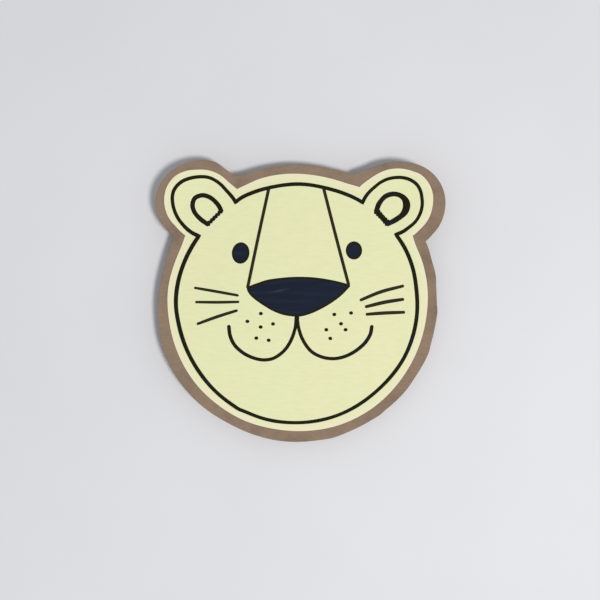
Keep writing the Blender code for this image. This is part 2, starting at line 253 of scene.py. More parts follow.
def add_surface(tree, shader, tone, heights, depth):
    """Gives the finish its colour, and raises the surface by the height patterns, one after the
    other, each with its own strength."""
    tree.links.new(tone, shader.inputs["Base Color"])
    normal = None
    for height, strength in heights:
        node = tree.nodes.new("ShaderNodeBump")
        node.inputs["Strength"].default_value = strength
        node.inputs["Distance"].default_value = depth
        tree.links.new(height, node.inputs["Height"])
        if normal is not None:
            tree.links.new(normal, node.inputs["Normal"])
        normal = node.outputs["Normal"]
    tree.links.new(normal, shader.inputs["Normal"])


def make_kraft_paper():
    """Brown paper: soft clouds of tone, long fibres down the bag, dark flecks, and fine ribs."""
    material, tree, shader = new_finish("kraft_paper", roughness=0.82, specular=0.22)
    clouds = noise(tree, 55.0, 4.0)
    fibres = noise(tree, 900.0, 3.0, (1.0, 0.12, 1.0))
    flecks = noise(tree, 520.0, 2.0, (1.0, 0.35, 1.0))
    ribs = pattern(tree, "ShaderNodeTexWave", (1, 0, 0), Scale=210.0, Distortion=0.6, Detail=1.0)
    tone = ramp(tree, clouds, [(0.32, KRAFT_MIDDLE), (0.68, KRAFT_LIGHT)])
    strands = ramp(tree, fibres, [(0.35, KRAFT_DARK), (0.62, KRAFT_LIGHT)])
    tone = mixed(tree, "MIX", 0.34, tone, strands)
    spots = ramp(tree, flecks, [(0.27, (1, 1, 1)), (0.33, (0, 0, 0))])
    tone = mixed(tree, "MIX", spots, tone, plain(tree, KRAFT_FLECK))
    add_surface(tree, shader, tone, [(fibres, 0.5), (ribs, 0.35), (clouds, 0.5)], KRAFT_RELIEF)
    return material


def paper_sheet(name, middle, material, thickness=PAPER):
    """A sheet of paper from its middle surface, a grid of points. Each side lies half a thickness
    away along the surface's normal, the cross product of the grid's two directions, and a rim of
    faces closes it all round."""
    rows, columns = middle.shape[:2]
    across, along = np.gradient(middle, axis=1), np.gradient(middle, axis=0)
    normal = np.cross(across, along)
    normal /= np.maximum(np.linalg.norm(normal, axis=2, keepdims=True), 1e-12)
    points = np.stack([middle + normal * thickness / 2, middle - normal * thickness / 2])
    upper = grid_quads(rows, columns)
    number = np.arange(rows * columns).reshape(rows, columns)
    edge = np.concatenate([number[0, :-1], number[:-1, -1], number[-1, :0:-1], number[:0:-1, 0]])
    after = np.roll(edge, -1)
    rim = np.stack([after, edge, edge + number.size, after + number.size], axis=1)
    return new_piece(name, points, [*upper, *(upper[:, ::-1] + number.size), *rim], material)


def saw_edge(x):
    """How far the open end stands out at each place across the bag: 0 in a gap, 1 on a tooth."""
    phase = np.abs(x) / TOOTH_PITCH % 1.0
    return np.clip(1.0 - np.abs(2.0 * phase - 1.0), 0.0, 1.0)


def roll_amount(reach):
    """How far a panel's side roll goes, from 0 to 1: it grows in proportion to the distance from
    the fold, where the paper is pressed flat and only a little of the roll is left."""
    return np.clip(reach / ROLL_FADES_OVER, ROLL_AT_FOLD, 1.0)


def rolled_columns(flat, side_roll, amount):
    """Across-bag places and heights of a panel whose two sides roll over in a small half circle.
    Flat places keep their height. The amount, 0 to 1 for each row, is how far the roll goes."""
    turn = np.pi * np.linspace(0, 1, ROLL_STEPS + 1)[1:]
    turn = amount[:, None] * turn[None, :]
    out, up = side_roll * np.sin(turn), side_roll * (1.0 - np.cos(turn))
    flat = np.broadcast_to(flat, (len(amount), len(flat)))
    x = np.hstack([flat[:, :1] - out[:, ::-1], flat, flat[:, -1:] + out])
    return x, np.hstack([up[:, ::-1], np.zeros_like(flat), up])


def ripple(x, y, height, shift):
    """The slight waviness of handled paper: three crossing sine waves, whose sum stays within
    the height given. One runs across, one along, and one at a slant."""
    across, along, slanting = RIPPLE_LENGTHS
    waves = (
        np.sin(x / across + shift)
        + np.sin(y / along + 1.7 * shift)
        + np.sin((x + 0.7 * y) / slanting + 2.3 * shift)
    )
    return height * waves / 3.0


def finish_sheet(sheet, body, *nodes):
    """A kraft sheet moves with its body, and stands for these nodes of the plain model."""
    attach(sheet, body)
    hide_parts(*nodes)


kraft_paper = make_kraft_paper()


def make_bag_back():
    """Rows run from the open end up the flat panel and round a quarter circle at the fold. Past
    the seam's edge the sheet is the under ply, a step higher, which settles back to the table."""
    radius = fold[2] - PAPER / 2
    seam_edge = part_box("back_seam_lap")[1][0] - fold[0]
    flat_rows = np.linspace(bag_length, 0.0, 48)
    bend = np.radians(np.linspace(0.0, BACK_FOLD_TURN, 12))[1:]
    reach = np.concatenate([flat_rows, np.zeros(len(bend))])
    turn = np.concatenate([np.zeros(len(flat_rows)), bend])
    flat_x = np.arange(-half_bag, half_bag + TOOTH_PITCH / 4, TOOTH_PITCH / 2)
    flat_x = np.sort(np.append(flat_x, [seam_edge, seam_edge + SEAM_STEP_WIDTH]))
    x, up = rolled_columns(flat_x, SIDE_ROLL, roll_amount(reach))
    settled = np.clip(1.0 - (x - seam_edge) / SEAM_FADES_OVER, 0.0, 1.0)
    step = SEAM_STEP * np.clip((x - seam_edge) / SEAM_STEP_WIDTH, 0.0, 1.0) * settled
    arm = radius - up - step
    y = -reach[:, None] + arm * np.sin(turn)[:, None]
    z = -arm * np.cos(turn)[:, None]
    near_end = np.clip(1.0 - (bag_length - reach) / TEETH_FADE_OVER, 0.0, 1.0)[:, None]
    y = y - near_end * TOOTH_DEPTH * saw_edge(x)
    middle = np.stack([x + fold[0], y + fold[1], z + fold[2]], axis=-1)
    sheet = paper_sheet("bag_back_sheet", middle, kraft_paper)
    finish_sheet(sheet, "bag_back", "back_panel", "back_fold")


def make_seam():
    """The long glued seam, where the paper's one edge laps over the other inside the back: a flat
    strip whose edges wander by a sine of the length."""
    low, high = np.array(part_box("back_seam_lap"))
    y = np.linspace(low[1], high[1], 60)[:, None]
    x = np.linspace(low[0], high[0], 9)[None, :]
    wander = SEAM_WANDER * np.sin(y / SEAM_WANDER_LENGTH)
    z = (low[2] + high[2]) / 2 + ripple(x, y, SEAM_RIPPLE, 0.4)
    middle = np.stack(np.broadcast_arrays(x + wander, y, z), axis=-1)
    strip = paper_sheet("bag_seam_strip", middle, kraft_paper, SEAM_PAPER)
    finish_sheet(strip, "bag_back", "back_seam_lap")


make_bag_back()
make_seam()

# ------------------------------------------------------------------------------------------------
# The bag's front: a second panel of the same kraft paper, over the folded gussets. It leans up
# from the fold to the open end, where a round notch is cut for the thumb.
# ------------------------------------------------------------------------------------------------

NOTCH_RADIUS = 9.0 * MM
NOTCH_MARGIN = 1.0 * MM
FRONT_BELOW_FOLD = 0.45 * MM
FRONT_RIPPLE = 0.22 * MM
PANEL_START = 0.8 * MM

up_the_front = np.array(joint_named("left_front_crease")["axis"])
off_the_front = np.array([0.0, -up_the_front[2], up_the_front[1]])


def on_front(x, reach, height):
    """Points on the leaning front: across the bag, down from the fold, and off the panel."""
    x, reach, height = np.broadcast_arrays(x, reach, height)
    down, off = -up_the_front, off_the_front
    places = fold + reach[..., None] * down + height[..., None] * off
    places[..., 0] += x
    return places


def make_bag_front():
    """Each column runs from the fold to the open end, whose place changes across the bag: saw teeth
    at the sides, and in the middle the half circle of the notch. The paper's waves grow with the
    share of the way down, to the power 1.5."""
    notch = np.radians(np.linspace(-90, 90, 17))
    teeth = np.arange(NOTCH_RADIUS + NOTCH_MARGIN, half_bag + TOOTH_PITCH / 4, TOOTH_PITCH / 2)
    flat_x = np.concatenate([-teeth[::-1], NOTCH_RADIUS * np.sin(notch), teeth])
    share = np.linspace(1.0, 0.0, 50)
    x, up = rolled_columns(flat_x, SIDE_ROLL, roll_amount(share * bag_length))
    inside = np.abs(x) <= NOTCH_RADIUS
    cut = np.sqrt(np.clip(NOTCH_RADIUS**2 - x**2, 0.0, None))
    end = bag_length + np.where(inside, -cut, TOOTH_DEPTH * saw_edge(x))
    reach = PANEL_START + (end - PANEL_START) * share[:, None]
    wave = ripple(x, reach, FRONT_RIPPLE, 1.1) * share[:, None] ** 1.5
    middle = on_front(x, reach, wave - up - FRONT_BELOW_FOLD)
    sheet = paper_sheet("bag_front_sheet", middle, kraft_paper)
    finish_sheet(sheet, "bag_front", "front_panel")


make_bag_front()

# ------------------------------------------------------------------------------------------------
# The side gussets. Each side of the bag is folded in along its middle, so it is two long
# triangles of kraft paper: one hangs on the back's edge, the other on the front's, and they meet
# at the crease inside, where the rear one turns up. They are widest at the open end.
# ------------------------------------------------------------------------------------------------

GUSSET_WIDTH = 26.0 * MM
GUSSET_START = 2.0 * MM
GUSSET_BELLY = 0.25 * MM
CREASE_CURL = 0.05 * MM
# The lip along the crease: its bend, where the bend starts and how far from upright the lip leans,
# in degrees, and the lip's length near the fold and at the open end.
CREASE_RADIUS = 0.45 * MM
CREASE_START = 18.0
CREASE_LEAN = 24.0
CREASE_RISE = (3.2 * MM, 1.25 * MM)
# The panels' thickness in the plain model of the bag, which their boxes include.
PLAIN_PAPER = 0.3 * MM

rear_box = np.array(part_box("left_rear_gusset"))
stand_off = np.arcsin((rear_box[1, 2] - rear_box[0, 2] - PLAIN_PAPER) / GUSSET_WIDTH)


def with_crease(inner, height, rise):
    """Carries a half on round the inner crease: an arc, then a straight lip that leans in beside
    the other half's edge. The lip stands upright when the bag is open."""
    turn = np.radians(np.linspace(CREASE_START, 90.0 - CREASE_LEAN, 5))
    arc_out = CREASE_RADIUS * np.sin(turn) * np.ones_like(rise)
    arc_up = CREASE_RADIUS * (1.0 - np.cos(turn)) * np.ones_like(rise)
    along = rise * np.linspace(0.0, 1.0, 4)[1:]
    out = np.hstack([arc_out, arc_out[:, -1:] + along * np.cos(turn[-1])])
    up = np.hstack([arc_up, arc_up[:, -1:] + along * np.sin(turn[-1])])
    return np.hstack([inner, inner[:, -1:] + out]), np.hstack([height, height[:, -1:] + up])


def make_gusset(side, place):
    """One half of a gusset. Its rows run down the bag and its columns in from the outer crease. The
    width grows in proportion to the distance from the fold. Each point lies off the panel by the
    width times the sine of the angle at which the halves stand off, and by half a sine wave, the
    paper's belly."""
    word = "left" if side < 0 else "right"
    joint = joint_named(f"{word}_{place}_crease")
    hinge, axis = np.array(joint["pos_m"]), np.array(joint["axis"])
    down = axis * -np.sign(axis[1])
    inward = np.array([-side, 0.0, 0.0])
    off = np.cross(down, inward) * (-side if place == "rear" else side)
    reach = np.linspace(GUSSET_START, bag_length, 40)[:, None]
    share = np.linspace(0.0, 1.0, 14)[None, :]
    width = share * GUSSET_WIDTH * reach / bag_length
    belly = GUSSET_BELLY * np.sin(np.pi * share) * (reach / bag_length) ** 2
    inner = width * np.cos(stand_off)
    height = width * np.sin(stand_off) + belly + CREASE_CURL * share**6
    if place == "rear":
        rise = np.interp(reach, (GUSSET_START, bag_length), CREASE_RISE)
        inner, height = with_crease(inner, height, rise)
        beyond = inner.shape[1] - width.shape[1]
        width = np.hstack([width, np.repeat(width[:, -1:], beyond, axis=1)])
    stretch = reach + np.where(reach == reach.max(), TOOTH_DEPTH * saw_edge(width), 0.0)
    middle = (
        hinge
        + stretch[..., None] * down
        + inner[..., None] * inward
        + height[..., None] * off
    )
    sheet = paper_sheet(f"{word}_{place}_gusset_sheet", middle, kraft_paper)
    finish_sheet(sheet, joint["child"], f"{word}_{place}_gusset")


for side in (-1, 1):
    for place in ("rear", "front"):
        make_gusset(side, place)

# ------------------------------------------------------------------------------------------------
# The flap: the bag's closed end, kraft paper turned over towards the front. Its outer panel comes
# round the fold, its inner panel faces the bag's front, its folded sides join them, and a glued
# hem closes the end. The fingers reach up through the bag and over the fold into it.
# ------------------------------------------------------------------------------------------------

FLAP_ROLL = 0.20 * MM
FLAP_FOLD_TURN = 40.0
FLAP_INSET = 0.4 * MM
HEM_WIDTH = 12.0 * MM
HEM_INSET = 0.6 * MM
HEM_BELOW_PANEL = 0.42 * MM
HEM_DROOP = 0.10 * MM
HEM_RIPPLE = 0.05 * MM
FLAP_SIDE_PAPER = 0.14 * MM
FLAP_SIDE_INSET = 0.5 * MM
FLAP_SIDE_CLEAR = 0.32 * MM
FLAP_SIDE_DEPTH = 16.0 * MM
FLAP_SIDE_START = 8.0 * MM
FLAP_SIDE_END = 47.0 * MM

outer_box = np.array(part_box("flap_outer_panel"))
inner_box = np.array(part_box("flap_inner_panel"))
flap_length = fold[1] - outer_box[0, 1]
flap_top = outer_box[:, 2].mean() - fold[2]
inner_rise = inner_box[1, 2] - inner_box[0, 2] - PLAIN_PAPER
inner_slope = np.arcsin(inner_rise / (flap_length - PANEL_START))
inner_height = inner_box[0, 2] + PLAIN_PAPER / 2 - PANEL_START * np.sin(inner_slope) - fold[2]
flap_x = np.linspace(-half_bag + FLAP_INSET, half_bag - FLAP_INSET, 40)


def make_flap_outer():
    """Rows run round the fold from under its front to the top, then flat to the free edge: a circle
    about the fold's axis, and the straight line that touches it."""
    bend = np.radians(np.linspace(-FLAP_FOLD_TURN, 90.0, 18))[:-1]
    flat = np.linspace(0.0, flap_length, 30)
    turn = np.concatenate([bend, np.full(len(flat), np.pi / 2)])
    reach = np.concatenate([np.zeros(len(bend)), flat])
    x, inwards = rolled_columns(flap_x, FLAP_ROLL, roll_amount(reach))
    radius = flap_top - inwards
    y = radius * np.cos(turn)[:, None] - reach[:, None]
    z = radius * np.sin(turn)[:, None]
    middle = np.stack([x, y, z], axis=-1) + fold
    sheet = paper_sheet("flap_outer_sheet", middle, kraft_paper)
    finish_sheet(sheet, "head_flap", "flap_outer_panel", "flap_fold")


def on_inner_panel(x, reach, height):
    """Points on the flap's inner panel, which rises from the fold to meet the outer panel."""
    x, reach, height = np.broadcast_arrays(x, reach, height)
    y = -reach * np.cos(inner_slope) - height * np.sin(inner_slope)
    z = inner_height + reach * np.sin(inner_slope) + height * np.cos(inner_slope)
    return np.stack([x, y, z], axis=-1) + fold


def make_flap_inner():
    """A plane from just past the fold to just short of the free edge, its sides half rolled."""
    share = np.linspace(1.0, 0.0, 36)
    reach = (PANEL_START + (flap_length - 2 * PANEL_START) * share)[:, None]
    x, up = rolled_columns(flap_x, FLAP_ROLL, 0.5 * roll_amount(flap_length - reach[:, 0]))
    sheet = paper_sheet("flap_inner_sheet", on_inner_panel(x, reach, up), kraft_paper)
    finish_sheet(sheet, "head_flap", "flap_inner_panel")


def make_flap_hem():
    """The end of the paper, turned back and glued under the inner panel's free edge. It droops with
    the square of the distance from that edge."""
    end = flap_length - 2 * PANEL_START
    reach = np.linspace(end, end - HEM_WIDTH, 8)[:, None]
    x = np.linspace(-half_bag + HEM_INSET, half_bag - HEM_INSET, 60)[None, :]
    droop = HEM_BELOW_PANEL + HEM_DROOP * ((end - reach) / HEM_WIDTH) ** 2
    wave = ripple(x, reach, HEM_RIPPLE, 2.2)
    sheet = paper_sheet("flap_hem_strip", on_inner_panel(x, reach, wave - droop), kraft_paper)
    finish_sheet(sheet, "head_flap", "flap_bottom_hem")


def make_flap_side(side):
    """A folded side of the flap: in from the outer panel to the crease, and out to the inner one.
    Across it a share runs from -1 to 1. The height follows the share to the power 1.3, and the
    depth falls off with the share to the power 1.15, which rounds the crease."""
    reach = np.linspace(FLAP_SIDE_START, FLAP_SIDE_END, 20)[:, None]
    share = np.linspace(-1.0, 1.0, 17)[None, :]
    low = inner_height + reach * np.sin(inner_slope) + FLAP_SIDE_CLEAR
    high = flap_top - FLAP_SIDE_CLEAR
    bow = np.sign(share) * np.abs(share) ** 1.3
    z = (low + high) / 2 + (high - low) / 2 * bow
    edge = half_bag - FLAP_SIDE_INSET
    x = side * (edge - FLAP_SIDE_DEPTH * (1.0 - np.abs(share) ** 1.15)) + 0.0 * reach
    middle = np.stack(np.broadcast_arrays(x, -reach, z), axis=-1) + fold
    word = "left" if side < 0 else "right"
    sheet = paper_sheet(f"flap_{word}_side", middle, kraft_paper, FLAP_SIDE_PAPER)
    finish_sheet(sheet, "head_flap", f"flap_{word}_gusset")


make_flap_outer()
make_flap_inner()
make_flap_hem()
make_flap_side(-1)
make_flap_side(1)

# ------------------------------------------------------------------------------------------------
# The head's backing: grey-brown kraft card, cut by hand with scissors 5 to 6 mm outside the face,
# so that its rim wavers and has faint corners round the right side and the chin. The card is glued
# on the flap, and its free edges curl up a little.
# ------------------------------------------------------------------------------------------------

CARD_CURL = 2.0 * MM
CURL_STARTS = 45.0 * MM
CHIN_REACH = 76.6 * MM
HEAD_OFF_MIDDLE = 1.6 * MM
BACKING_RINGS = np.linspace(0.0, 0.96, 13)
BACKING_BEVEL = (0.0018, 0.14 * MM, 0.14 * MM)
BACKING_RELIEF = 0.07 * MM
BACKING_COLOUR = (0.268, 0.192, 0.133)
BACKING_DARK = (0.204, 0.143, 0.099)
BACKING_WARM = (0.300, 0.209, 0.150)
LEFT_EAR_MIDDLE = (-54.0, 55.2)
RIGHT_EAR_MIDDLE = (55.5, 54.9)
# The cut edge, in millimetres about the head's middle: the spacing of its points, the four corners
# where the ears meet the head, and between them angles in degrees and reaches from the head's or
# the ear's middle.
EDGE_STEP = 0.6
BACKING_CORNERS = ((71.0, 33.5), (31.9, 70.2), (-34.4, 69.4), (-67.5, 36.2))
BACKING_RIGHT_EAR = ((-42, 26.1), (-30, 26.3), (-12, 26.2), (5, 26.0), (20, 25.5), (38, 24.6),
                     (55, 23.6), (70, 22.7), (88, 22.2), (110, 22.5), (130, 23.9))
BACKING_FOREHEAD = ((71, 76.2), (80, 75.7), (91, 75.6), (103, 75.5), (111, 75.7))
BACKING_LEFT_EAR = ((52, 23.4), (66, 23.7), (80, 23.1), (95, 22.3), (112, 21.9), (140, 22.1),
                    (165, 22.9), (190, 23.4), (215, 23.3))
BACKING_ROUND = ((156, 75.6), (166, 75.2), (176, 75.8), (187, 76.6), (198, 77.7), (212, 77.8),
                 (226, 77.3), (240, 76.4), (252, 76.5), (264, 76.8), (278, 76.8), (285, 77.2),
                 (292, 76.8), (302, 76.8), (306, 77.1), (310, 76.9), (321, 77.3), (328, 77.2),
                 (338.5, 77.8), (343, 77.4), (351, 77.4), (356, 77.7), (360, 77.2), (366, 77.3),
                 (371, 78.0), (377, 77.9), (382, 78.4))

backing_box = np.array(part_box("head_backing"))
face_box = np.array(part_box("face_sheet"))
middle_of_ears = (backing_box[0, 0] + backing_box[1, 0]) / 2
head_x = middle_of_ears - HEAD_OFF_MIDDLE
head_y = backing_box[0, 1] + CHIN_REACH


def lift(x, y):
    """How far the card has curled up: nothing near the middle, then a rise with the cube of the
    distance, under a millimetre at the head's edge and a few at the ears' tips."""
    out = np.hypot(x - head_x, y - head_y)
    return CARD_CURL * (np.clip(out - CURL_STARTS, 0.0, None) / CURL_STARTS) ** 3


def through(points, count=10):
    """A smooth path through the points, a Catmull-Rom curve: at each point it runs along the line
    between that point's two neighbours."""
    p = np.asarray(points, float)
    p = np.vstack([2 * p[0] - p[1], p, 2 * p[-1] - p[-2]])
    t = np.linspace(0, 1, count, endpoint=False)[None, :, None]
    a, b, c, d = (p[k : len(p) - 3 + k][:, None, :] for k in range(4))
    slope, bend, twist = c - a, 2 * a - 5 * b + 4 * c - d, 3 * b - a - 3 * c + d
    curve = (2 * b + slope * t + bend * t**2 + twist * t**3) / 2
    return np.vstack([curve.reshape(-1, 2), p[-2:-1]])


def head_shape(corners, right_ear, forehead, left_ear, round_head):
    """A closed outline of head and ears, anticlockwise from the corner under the right ear. Each of
    the four stretches runs from corner to corner. Its stations are angles in degrees and reaches
    from that ear's middle or the head's, and the reach changes smoothly with the angle."""
    path = []
    stretches = (right_ear, forehead, left_ear, round_head)
    middles = (RIGHT_EAR_MIDDLE, (0, 0), LEFT_EAR_MIDDLE, (0, 0))
    for k, (stations, middle) in enumerate(zip(stretches, middles)):
        ends = np.array([corners[k], corners[(k + 1) % 4]]) - middle
        ends = np.stack([np.degrees(np.arctan2(ends[:, 1], ends[:, 0])), np.hypot(*ends.T)], 1)
        table = np.vstack([ends[:1], stations, ends[1:]])
        table[:, 0] = np.unwrap(table[:, 0], period=360)
        angle, reach = through(table)[:-1].T
        turn = np.radians(angle)
        path.append(middle + reach[:, None] * np.stack([np.cos(turn), np.sin(turn)], axis=1))
    return np.vstack(path)


def evenly(path, spacing, closed=True):
    """Points at an even spacing along a path, its corners kept within half a spacing."""
    path = np.vstack([path, path[:1]]) if closed else np.asarray(path, float)
    run = np.concatenate([[0.0], np.cumsum(np.linalg.norm(np.diff(path, axis=0), axis=1))])
    count = max(4, int(round(run[-1] / spacing)))
    at = np.linspace(0.0, run[-1], count + 1)[: -1 if closed else None]
    return np.stack([np.interp(at, run, path[:, k]) for k in (0, 1)], axis=1)


def plate(name, outline, middle, rings, floor, material):
    """A closed flat piece. Its outline is drawn in towards the middle in rings: each ring is
    (share of the way out, height), from the middle of the top, over the edge, to the middle of
    the underside. A point at each middle closes it. All points rise with the card's curl. The
    piece gets the distance to its own edge, in metres, as an attribute named inset."""
    place = np.array([head_x, head_y])
    outline = outline * MM + place
    middle = np.array(middle) * MM + place
    share, height = np.array(rings).T
    ring = middle + share[1:-1, None, None] * (outline - middle)
    flat = np.vstack([middle[None], ring.reshape(-1, 2), middle[None]])
    tall = np.concatenate([height[:1], np.repeat(height[1:-1], len(outline)), height[-1:]])
    z = floor + tall + lift(flat[:, 0], flat[:, 1])
    n, rows = len(outline), len(share) - 2
    number = 1 + np.arange(rows * n).reshape(rows, n)
    after = np.roll(number, -1, axis=1)
    last = rows * n + 1
    top = np.stack([np.zeros(n, int), number[0], after[0]], axis=1)
    sides = np.stack([number[:-1], number[1:], after[1:], after[:-1]], -1).reshape(-1, 4)
    under = np.stack([np.full(n, last), after[-1], number[-1]], axis=1)
    piece = new_piece(name, np.column_stack([flat, z]), [*top, *sides, *under], material)
    loops = [middle[None], *ring, middle[None]]
    away = [np.hypot(*(loop[:, None, :] - outline[None]).T).min(axis=0) for loop in loops]
    attribute = piece.data.attributes.new("inset", "FLOAT", "POINT")
    attribute.data.foreach_set("value", np.concatenate(away).astype(np.float32))
    return piece


def card_rings(spread, high, bevel):
    """The rings of a card: out over its top, round the cut edge, and back under it. The scissors
    press a short bevel above and below. It says how far in it starts and both its heights."""
    inwards, above, below = bevel
    edge = [(1 - inwards, high), (1.0, high - above), (1.0, below), (1 - inwards, 0.0)]
    return [(s, high) for s in spread] + edge + [(s, 0.0) for s in spread[::-1]]


def finish_head_piece(piece, node):
    """Everything on the head moves with the flap, and stands for one node of the plain model."""
    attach(piece, "head_flap")
    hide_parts(node)


def make_backing_card():
    """Grey-brown card: soft patches of cooler and warmer brown, short fibres, and a dull grain."""
    material, tree, shader = new_finish("kraft_card", roughness=0.88, specular=0.15)
    patches = noise(tree, 70.0, 3.0)
    fibres = noise(tree, 1100.0, 3.0, (0.3, 1.0, 1.0))
    grain = noise(tree, 420.0, 4.0)
    tone = ramp(tree, patches, [(0.3, BACKING_DARK), (0.5, BACKING_COLOUR), (0.7, BACKING_WARM)])
    strands = ramp(tree, fibres, [(0.35, BACKING_DARK), (0.6, BACKING_WARM)])
    tone = mixed(tree, "MIX", 0.28, tone, strands)
    add_surface(tree, shader, tone, [(fibres, 0.4), (grain, 0.5)], BACKING_RELIEF)
    return material


def make_backing():
    """A plate inside the cut line, as thick as the card."""
    outline = head_shape(
        BACKING_CORNERS, BACKING_RIGHT_EAR, BACKING_FOREHEAD, BACKING_LEFT_EAR, BACKING_ROUND
    )
    outline = evenly(outline, EDGE_STEP)
    low, high = backing_box[:, 2]
    rings = card_rings(BACKING_RINGS, high - low, BACKING_BEVEL)
    card = plate("head_backing_card", outline, (0, 0), rings, low, kraft_card)
    finish_head_piece(card, "head_backing")


kraft_card = make_backing_card()
make_backing()

# ------------------------------------------------------------------------------------------------
# The face: smooth pale yellow card, cut 5 to 6 mm inside the backing and glued flat on it. It
# follows the backing's curl. Its cut edge is a paler cream, where the card's core shows.
# ------------------------------------------------------------------------------------------------

FACE_COLOUR = (0.768, 0.790, 0.458)
FACE_WARM = (0.785, 0.775, 0.464)
FACE_THREADS = ((0.965, 0.965, 0.95), (1.0, 1.0, 1.0))
FACE_RELIEF = 0.03 * MM
FACE_RINGS = np.concatenate([np.linspace(0.0, 0.9, 12), [0.94, 0.97, 0.985]])
FACE_BEVEL = (0.0009, 0.06 * MM, 0.05 * MM)
MARGIN_COLOUR = (0.830, 0.765, 0.560)
MARGIN_FADE = (0.3 * MM, 4.4 * MM)
MARGIN_STRENGTH = 0.7
GLUE = 0.04 * MM
FACE_CORNERS = ((63.8, 36.5), (34.6, 63.3), (-32.8, 62.2), (-61.1, 36.8))
FACE_RIGHT_EAR = ((-50, 19.3), (-30, 19.25), (-8, 19.2), (15, 19.65), (38, 19.7), (52, 19.4),
                  (64, 18.7), (85, 18.4), (105, 18.6), (125, 19.1), (142, 20.2))
FACE_FOREHEAD = ((67, 71.0), (74, 70.6), (84, 70.55), (96, 70.85), (106, 70.85), (113, 70.3))
FACE_LEFT_EAR = ((32, 20.0), (50, 19.0), (70, 18.2), (92, 17.5), (112, 17.95), (132, 18.65),
                 (155, 18.75), (180, 18.5), (205, 18.4), (228, 18.35))
FACE_ROUND = ((154, 70.4), (162, 70.4), (174, 71.0), (188, 70.8), (202, 70.95), (218, 71.2),
              (232, 71.05), (246, 71.05), (260, 70.7), (274, 70.9), (288, 71.4), (306, 71.6),
              (324, 71.4), (342, 71.55), (354, 71.85), (366, 72.4), (378, 72.65), (385, 72.6))


def tinted_rim(tree, tone, tint, fade, strength):
    """The tone with a tint mixed in by the distance to the piece's edge, the attribute inset. The
    tint has its full strength up to the fade's first distance, and is gone at its second."""
    inset = tree.nodes.new("ShaderNodeAttribute")
    inset.attribute_name = "inset"
    share = tree.nodes.new("ShaderNodeMapRange")
    share.interpolation_type = "SMOOTHSTEP"
    limits = {"From Min": fade[0], "From Max": fade[1], "To Min": strength, "To Max": 0.0}
    for socket, value in limits.items():
        share.inputs[socket].default_value = value
    tree.links.new(inset.outputs["Fac"], share.inputs["Value"])
    return mixed(tree, "MIX", share.outputs["Result"], tone, plain(tree, tint))


def make_face_card():
    """Pale yellow, with slow clouds of warmer tone, a cream margin that fades in from the cut
    edge, and the fine tooth of smooth card."""
    material, tree, shader = new_finish("cream_card", roughness=0.62, specular=0.28)
    clouds = noise(tree, 32.0, 3.0)
    tooth = noise(tree, 1500.0, 2.0)
    fibres = noise(tree, 700.0, 2.0, (0.25, 1.0, 1.0))
    tone = ramp(tree, clouds, [(0.38, FACE_COLOUR), (0.66, FACE_WARM)])
    threads = ramp(tree, fibres, [(0.3, FACE_THREADS[0]), (0.6, FACE_THREADS[1])])
    tone = mixed(tree, "MULTIPLY", 1.0, tone, threads)
    tone = tinted_rim(tree, tone, MARGIN_COLOUR, MARGIN_FADE, MARGIN_STRENGTH)
    add_surface(tree, shader, tone, [(tooth, 0.3), (fibres, 0.25)], FACE_RELIEF)
    return material


def make_face():
    """A plate like the backing, from a film of glue over it up to the face's own top. Its rings
    stand closer near the edge, where the curl is steepest and the margin fades."""
    outline = head_shape(FACE_CORNERS, FACE_RIGHT_EAR, FACE_FOREHEAD, FACE_LEFT_EAR, FACE_ROUND)
    outline = evenly(outline, EDGE_STEP)
    floor = backing_box[1, 2] + GLUE
    high = face_box[1, 2] - floor
    rings = card_rings(FACE_RINGS, high, FACE_BEVEL)
    card = plate("face_card", outline, (0, 0), rings, floor, cream_card)
    finish_head_piece(card, "face_sheet")


cream_card = make_face_card()
make_face()

# ------------------------------------------------------------------------------------------------
# The drawing: black felt-tip ink, put on by hand with a round tip about 2 mm wide. Each stroke is
# a thin film on the card with round ends, and its width changes a little as the hand slows down.
# First comes the line that follows the head, about 5 mm inside the face's cut edge.
# ------------------------------------------------------------------------------------------------

INK_BLACK = (0.0115, 0.0110, 0.0040)
INK_BLUE = (0.0090, 0.0135, 0.0300)
INK_QUICK = (0.0240, 0.0225, 0.0090)
INK_FILM = 0.05 * MM
QUICK_FILM = 0.04 * MM
INK_CLEAR = 0.012 * MM
INK_RELIEF = 0.02 * MM
# A stroke's cross-section, as shares of its half width and of the film's thickness, and the angles
# round an open stroke's end, in radians, with the closing point's small step beyond them.
FILM_ACROSS = np.array([-1.0, -0.9, -0.6, 0.0, 0.6, 0.9, 1.0])
FILM_HEIGHT = np.array([0.0, 0.55, 0.9, 1.0, 0.9, 0.55, 0.0])
ROUND_END = np.linspace(0.0, 1.4, 7)[1:]
END_POINT = 0.02
SHARPEST_CORNER = 1.05
# The line's width in millimetres, and shares of it: the swell at the head's sides and low down, the
# waver, and the loss round the ears, between these two reaches in millimetres.
LINE_WIDTH = 2.15
SIDE_SWELL, LOWER_SWELL, LINE_WAVER = 0.07, 0.05, 0.02
EAR_LOSS, EAR_REACHES = 0.13, (68.0, 80.0)
LINE_CORNERS = ((54.6, 37.3), (36.4, 54.8), (-33.6, 55.0), (-53.6, 36.5))
LINE_RIGHT_EAR = ((-68, 15.3), (-50, 14.5), (-28, 13.85), (-8, 13.55), (10, 13.45), (26, 13.85),
                  (42, 14.15), (58, 14.0), (80, 13.65), (96, 13.55), (114, 13.85), (132, 14.4),
                  (150, 15.4))
LINE_FOREHEAD = ((60, 65.7), (67, 65.25), (76, 64.85), (88, 65.0), (100, 64.75), (110, 64.9),
                 (117, 65.0))
LINE_LEFT_EAR = ((20, 16.9), (36, 15.7), (52, 15.0), (66, 14.5), (82, 13.8), (98, 13.45),
                 (114, 13.6), (132, 14.1), (154, 14.5), (168, 14.3), (184, 13.9), (202, 13.85),
                 (220, 14.3), (240, 15.4))
